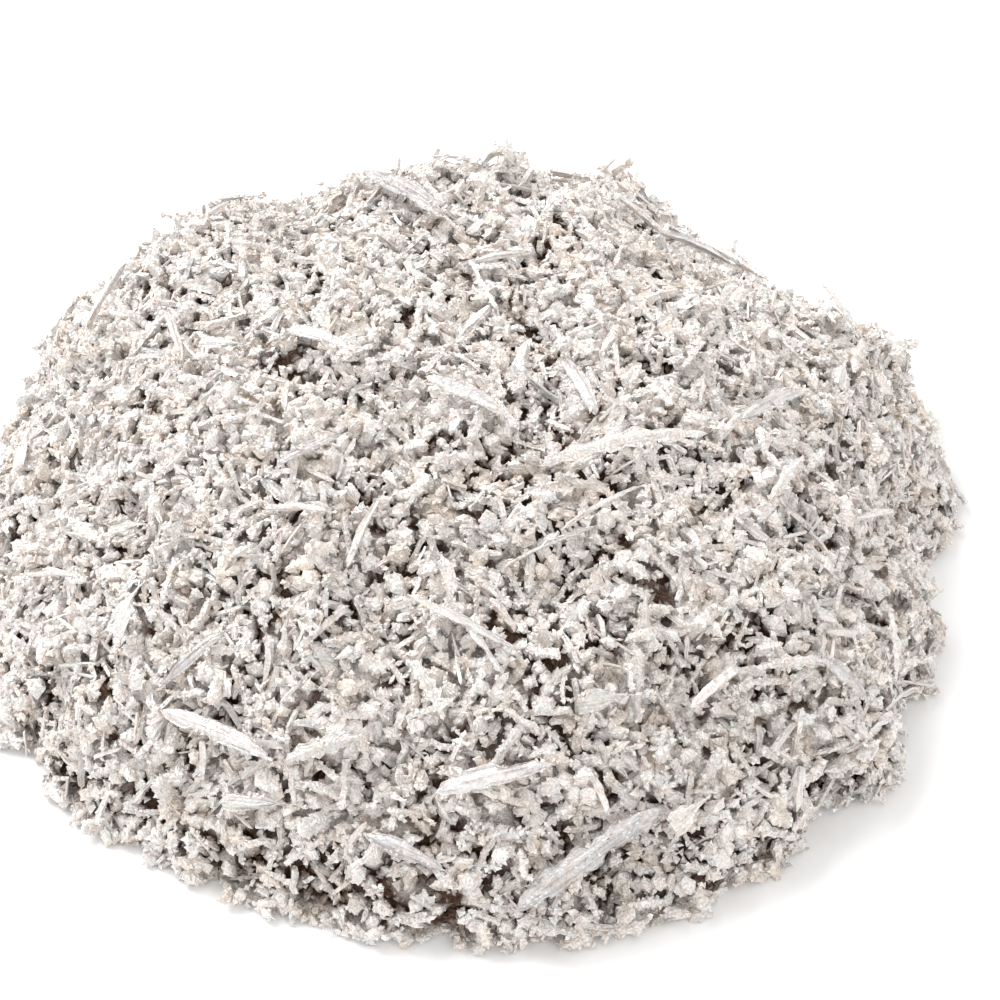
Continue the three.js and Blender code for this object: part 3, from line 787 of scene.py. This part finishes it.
# ---------------------------------------------------------------- strewing
SCATTER_INPUTS = [
    ("Prototypes", "NodeSocketCollection", None),
    ("Where", "NodeSocketString", "room"),
    ("Spacing", "NodeSocketFloat", 0.001),
    ("Density", "NodeSocketFloat", 1e6),
    ("Smallest", "NodeSocketFloat", 0.8),
    ("Largest", "NodeSocketFloat", 1.2),
    ("Lean", "NodeSocketFloat", 0.5),
    ("Lowest", "NodeSocketFloat", 0.0),
    ("Highest", "NodeSocketFloat", 0.001),
    ("Clear", "NodeSocketFloat", 0.001),
    ("Variants", "NodeSocketInt", 8),
    ("Parts", "NodeSocketInt", 1),
    ("Part", "NodeSocketInt", 0),
    ("Seed", "NodeSocketInt", 0),
    ("Material", "NodeSocketMaterial", None),
]


def scatter_tree():
    """Strews prototypes over a ground mesh as thickly as its attribute named by Where says."""
    tree = bpy.data.node_groups.new("Strewn crystals", "GeometryNodeTree")
    tree.interface.new_socket("Ground", in_out="INPUT", socket_type="NodeSocketGeometry")
    for label, kind, value in SCATTER_INPUTS:
        socket = tree.interface.new_socket(label, in_out="INPUT", socket_type=kind)
        if value is not None:
            socket.default_value = value
    tree.interface.new_socket("Crystals", in_out="OUTPUT", socket_type="NodeSocketGeometry")
    given = add_node(tree, "NodeGroupInput")
    result = add_node(tree, "NodeGroupOutput")
    link = tree.links.new

    room = add_node(tree, "GeometryNodeInputNamedAttribute", data_type="FLOAT")
    strew = add_node(tree, "GeometryNodeDistributePointsOnFaces", distribute_method="POISSON")
    link(given.outputs["Where"], room.inputs["Name"])
    link(given.outputs["Ground"], strew.inputs["Mesh"])
    link(given.outputs["Spacing"], strew.inputs["Distance Min"])
    link(given.outputs["Density"], strew.inputs["Density Max"])
    link(room.outputs["Attribute"], strew.inputs["Density Factor"])
    link(given.outputs["Seed"], strew.inputs["Seed"])

    def random_value(kind, low, high, seed_step):
        """A random value for each point between two sockets or numbers."""
        node = add_node(tree, "FunctionNodeRandomValue", data_type=kind)
        sockets = {"FLOAT_VECTOR": (0, 1, 0), "FLOAT": (2, 3, 1), "INT": (4, 5, 2)}[kind]
        for index, source in zip(sockets, (low, high)):
            if isinstance(source, bpy.types.NodeSocket):
                link(source, node.inputs[index])
            else:
                node.inputs[index].default_value = source
        step = add_node(tree, "FunctionNodeIntegerMath", operation="ADD")
        link(given.outputs["Seed"], step.inputs[0])
        step.inputs[1].default_value = seed_step
        link(step.outputs[0], node.inputs["Seed"])
        return node.outputs[sockets[2]]

    lift = random_value("FLOAT", given.outputs["Lowest"], given.outputs["Highest"], 1)
    offset = add_node(tree, "ShaderNodeVectorMath", operation="SCALE")
    link(strew.outputs["Normal"], offset.inputs[0])
    link(lift, offset.inputs["Scale"])
    position = add_node(tree, "GeometryNodeInputPosition")
    middle = add_node(tree, "ShaderNodeVectorMath", operation="ADD")
    link(position.outputs[0], middle.inputs[0])
    link(offset.outputs[0], middle.inputs[1])
    lowest = add_node(tree, "ShaderNodeCombineXYZ")
    lowest.inputs["X"].default_value = -1.0
    lowest.inputs["Y"].default_value = -1.0
    link(given.outputs["Clear"], lowest.inputs["Z"])
    clear_middle = add_node(tree, "ShaderNodeVectorMath", operation="MAXIMUM")
    link(middle.outputs[0], clear_middle.inputs[0])
    link(lowest.outputs[0], clear_middle.inputs[1])
    lifted = add_node(tree, "GeometryNodeSetPosition")
    link(strew.outputs["Points"], lifted.inputs["Geometry"])
    link(clear_middle.outputs[0], lifted.inputs["Position"])

    negative = add_node(tree, "ShaderNodeMath", operation="MULTIPLY")
    link(given.outputs["Lean"], negative.inputs[0])
    negative.inputs[1].default_value = -1.0
    lean = random_value("FLOAT", negative.outputs[0], given.outputs["Lean"], 2)
    roll = random_value("FLOAT", -0.6, 0.6, 3)
    heading = random_value("FLOAT", 0.0, 2 * math.pi, 4)
    angles = add_node(tree, "ShaderNodeCombineXYZ")
    link(roll, angles.inputs["X"])
    link(lean, angles.inputs["Y"])
    link(heading, angles.inputs["Z"])
    turn = add_node(tree, "FunctionNodeEulerToRotation")
    link(angles.outputs[0], turn.inputs[0])
    stand = add_node(tree, "FunctionNodeRotateRotation", rotation_space="LOCAL")
    link(strew.outputs["Rotation"], stand.inputs["Rotation"])
    link(turn.outputs[0], stand.inputs["Rotate By"])

    index = add_node(tree, "GeometryNodeInputIndex")
    turn_of = add_node(tree, "FunctionNodeIntegerMath", operation="MODULO")
    link(index.outputs[0], turn_of.inputs[0])
    link(given.outputs["Parts"], turn_of.inputs[1])
    mine = add_node(tree, "FunctionNodeCompare", data_type="INT", operation="EQUAL")
    link(turn_of.outputs[0], mine.inputs[2])
    link(given.outputs["Part"], mine.inputs[3])

    prototypes = add_node(tree, "GeometryNodeCollectionInfo")
    prototypes.inputs["Separate Children"].default_value = True
    prototypes.inputs["Reset Children"].default_value = True
    link(given.outputs["Prototypes"], prototypes.inputs["Collection"])
    last = add_node(tree, "FunctionNodeIntegerMath", operation="SUBTRACT")
    link(given.outputs["Variants"], last.inputs[0])
    last.inputs[1].default_value = 1
    place = add_node(tree, "GeometryNodeInstanceOnPoints")
    place.inputs["Pick Instance"].default_value = True
    link(lifted.outputs["Geometry"], place.inputs["Points"])
    link(mine.outputs[0], place.inputs["Selection"])
    link(prototypes.outputs[0], place.inputs["Instance"])
    link(random_value("INT", 0, last.outputs[0], 5), place.inputs["Instance Index"])
    link(stand.outputs[0], place.inputs["Rotation"])
    size = random_value("FLOAT", given.outputs["Smallest"], given.outputs["Largest"], 6)
    link(size, place.inputs["Scale"])

    shade = add_node(tree, "GeometryNodeStoreNamedAttribute", data_type="FLOAT", domain="INSTANCE")
    shade.inputs["Name"].default_value = "shade"
    link(place.outputs[0], shade.inputs["Geometry"])
    link(random_value("FLOAT", 0.0, 1.0, 7), shade.inputs["Value"])
    realized = add_node(tree, "GeometryNodeRealizeInstances")
    link(shade.outputs[0], realized.inputs[0])
    coloured = add_node(tree, "GeometryNodeSetMaterial")
    link(realized.outputs[0], coloured.inputs["Geometry"])
    link(given.outputs["Material"], coloured.inputs["Material"])
    link(coloured.outputs[0], result.inputs[0])
    return tree


def strewn(name, ground, tips, tree, prototypes, spec, part):
    """One plain mesh of strewn crystals. Their depth is measured from the tips' surface."""
    carrier = add_object(f"{name} ground", ground.data.copy())
    modifier = carrier.modifiers.new("Strewn crystals", "NODES")
    modifier.node_group = tree
    values = {
        "Prototypes": prototypes,
        "Where": spec["where"],
        "Spacing": spec["spacing"] * MM,
        "Density": spec["density"] / MM ** 2,
        "Smallest": spec["scale"][0],
        "Largest": spec["scale"][1],
        "Lean": spec["lean"],
        "Lowest": spec["lift"][0] * MM,
        "Highest": spec["lift"][1] * MM,
        "Clear": spec["clear"] * MM,
        "Variants": len(prototypes.objects),
        "Parts": spec["parts"],
        "Part": part,
        "Seed": spec["seed"],
        "Material": SILVER[spec["slot"]],
    }
    for item in tree.interface.items_tree:
        if item.in_out == "INPUT" and item.name in values:
            modifier[item.identifier] = values[item.name]
    mesh = plain_mesh(carrier, name)
    bpy.data.objects.remove(carrier)
    coords = np.empty(3 * len(mesh.vertices), np.float32)
    mesh.vertices.foreach_get("co", coords)
    heights = coords[2::3]
    foot = FOOT * MM
    coords[2::3] = np.where(heights < foot, foot * np.exp(np.minimum(heights / foot, 1) - 1), heights)
    mesh.vertices.foreach_set("co", coords)
    mesh.update()
    store(mesh, "depth", depths_under(tips, mesh))
    add_tints(mesh)
    return add_object(name, mesh)


# ---------------------------------------------------------------- the loose crystals
def crystal_axes(points):
    """Middle, length direction, width direction and thickness direction of a crystal's points."""
    middle = points.mean(axis=0)
    _, _, rows = np.linalg.svd(points - middle, full_matrices=False)
    return middle, rows[0], rows[1], rows[2]


def worked_crystal(node):
    """A loose crystal's solid with its fibres, frost and torn edges cut into it."""
    bm = merged_solid(node)
    refine(bm, CRYSTAL_EDGE * MM)
    points = np.array([vert.co[:] for vert in bm.verts])
    middle, along, across, up = crystal_axes(points)
    local = (points - middle) @ np.stack([along, across, up], axis=1) / MM
    half_width = np.abs(local[:, 1]).max()
    seed = Vector((hash_of(node), 0, 0))
    for vert, (u, v, w) in zip(bm.verts, local):
        side = 3.0 * math.copysign(1, v)
        in_fibres = Vector((u * FIBRES["along"], v / FIBRES["width"], w / FIBRES["width"]))
        fibres = 0.5 + 0.8 * noise.noise(in_fibres + seed)
        across_frost = CRYSTAL_FROST["across"]
        in_frost = Vector((u * CRYSTAL_FROST["along"], v * across_frost, w * across_frost))
        frost = 0.5 + 0.5 * noise.noise(in_frost + seed)
        carved = FIBRES["depth"] * max(0.0, fibres) + CRYSTAL_FROST["depth"] * frost
        vert.co -= vert.normal * carved * MM
        edge = ramp(abs(v) / half_width, 0.3, 1.0)
        torn = 0.8 * noise.noise(Vector((u * LONG_BITES, side, 5.0)) + seed)
        torn += 0.5 * noise.noise(Vector((u * SHORT_BITES, side, 7.0)) + seed)
        bite = edge * min(DEEPEST_BITE, max(0.0, torn)) * half_width
        vert.co -= Vector(across) * math.copysign(bite, v) * MM
    mesh = bpy.data.meshes.new(f"{node}_worked")
    bm.normal_update()
    bm.to_mesh(mesh)
    bm.free()
    shades = [OWN_SHADES.get(node, hash_of(node) / 97)] * len(mesh.vertices)
    store(mesh, "shade", shades)
    places = local.astype(np.float32).ravel()
    store(mesh, "place", places)
    add_tints(mesh)
    return add_object(f"{node}_worked", mesh)


def hash_of(name):
    """A fixed number for a name."""
    return sum((index + 3) * ord(letter) for index, letter in enumerate(name)) % 97


# ---------------------------------------------------------------- making the heap
skin = bed_skin()
tree = scatter_tree()
prototypes = {form: prototype_collection(form) for form in MAKERS}
bed = BVHTree.FromBMesh(merged_solid("crystal_bed"))


def strewn_parts(specs, ground):
    """All pieces of several kinds of strewn crystals, each with its slot."""
    made = []
    for name, spec in specs.items():
        for part in range(spec["parts"]):
            own_name = f"{name}_{part + 1}" if spec["parts"] > 1 else name
            piece = strewn(own_name, ground, bed, tree, prototypes[spec["forms"]], spec, part)
            made.append((piece, spec["slot"]))
    return made


def frost_patches(point):
    """How thickly frost lies on a loose crystal at a point in mm."""
    return ramp(noise.noise(point / FROST_PATCHES["size"]), *FROST_PATCHES["between"])


skin_top = without_underside(skin)
bed_parts = [(skin, "bed_silver")] + strewn_parts(LUMPY, skin_top)
lumps = frost_ground([piece for piece, _ in bed_parts], bed, lambda point: 1.0)
bed_parts += strewn_parts(ON_LUMPS, lumps)
bed_parts += strewn_parts(ON_SKIN, skin_top)
for piece, slot in bed_parts:
    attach(piece, "root")
    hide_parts("crystal_bed")

loose_nodes = [node for node in frame["nodes"] if node != "crystal_bed"]
loose_crystals = [worked_crystal(node) for node in loose_nodes]
loose_ground = frost_ground(loose_crystals, bed, frost_patches)
frost_parts = strewn_parts(ON_LOOSE_CRYSTALS, loose_ground)
for node, crystal in zip(loose_nodes, loose_crystals):
    slot = f"{node[:-3]}_silver"
    crystal.data.materials.append(SILVER[slot])
    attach(crystal, "root")
    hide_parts(node)
for piece, slot in frost_parts:
    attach(piece, "root")
    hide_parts(*loose_nodes)

for collection in prototypes.values():
    for obj in list(collection.objects):
        bpy.data.objects.remove(obj)
    bpy.data.collections.remove(collection)
for ground in (skin_top, lumps, loose_ground):
    bpy.data.objects.remove(ground)

# ---------------------------------------------------------------- floor, light and camera
FLOOR_REACH = 3.0  # in metres, as all of this part
FLOOR_DROP = 0.02 * MM
floor_mesh = bpy.data.meshes.new("floor")
corners = [(x * FLOOR_REACH, y * FLOOR_REACH, 0) for x, y in ((-1, -1), (1, -1), (1, 1), (-1, 1))]
floor_mesh.from_pydata(corners, [], [(0, 1, 2, 3)])
floor = add_object("floor", floor_mesh)
floor.location.z = -FLOOR_DROP
paper = bpy.data.materials.new("White paper")
paper.use_nodes = True
paper.node_tree.nodes["Principled BSDF"].inputs["Base Color"].default_value = (0.93, 0.93, 0.93, 1)
paper.node_tree.nodes["Principled BSDF"].inputs["Roughness"].default_value = 0.9
floor_mesh.materials.append(paper)


def softbox(name, place, size, power):
    """A square area light that faces the heap."""
    light = bpy.data.lights.new(name, "AREA")
    light.shape = "SQUARE"
    light.size = size
    light.energy = power
    lamp = bpy.data.objects.new(name, light)
    lamp.location = place
    lamp.rotation_euler = (-Vector(place)).to_track_quat("-Z", "Y").to_euler()
    bpy.context.scene.collection.objects.link(lamp)


softbox("key", place=(-0.45, 0.33, 0.7), size=0.55, power=7.0)
softbox("fill", place=(0.5, -0.5, 0.5), size=0.6, power=0.9)
world = bpy.data.worlds.new("studio")
world.use_nodes = True
world.node_tree.nodes["Background"].inputs["Color"].default_value = (1, 0.99, 0.98, 1)
world.node_tree.nodes["Background"].inputs["Strength"].default_value = 1.0
bpy.context.scene.world = world
bpy.context.scene.view_settings.view_transform = "Standard"

CAMERA_DISTANCE = 0.35
CAMERA_ELEVATION = math.radians(45)
CAMERA_AIM = {"right": 2.37 * MM, "height": 12 * MM, "lower": 2.3 * MM}
back = Vector((0, -math.cos(CAMERA_ELEVATION), math.sin(CAMERA_ELEVATION)))
camera_up = Vector((0, math.sin(CAMERA_ELEVATION), math.cos(CAMERA_ELEVATION)))
lens = bpy.data.cameras.new("camera")
lens.sensor_width = 36
lens.lens = 127.4
lens.clip_start = 0.01
camera = bpy.data.objects.new("camera", lens)
aim = Vector((CAMERA_AIM["right"], 0, CAMERA_AIM["height"])) - camera_up * CAMERA_AIM["lower"]
camera.location = aim + back * CAMERA_DISTANCE
camera.rotation_euler = (-back).to_track_quat("-Z", "Y").to_euler()
bpy.context.scene.collection.objects.link(camera)
bpy.context.scene.camera = camera
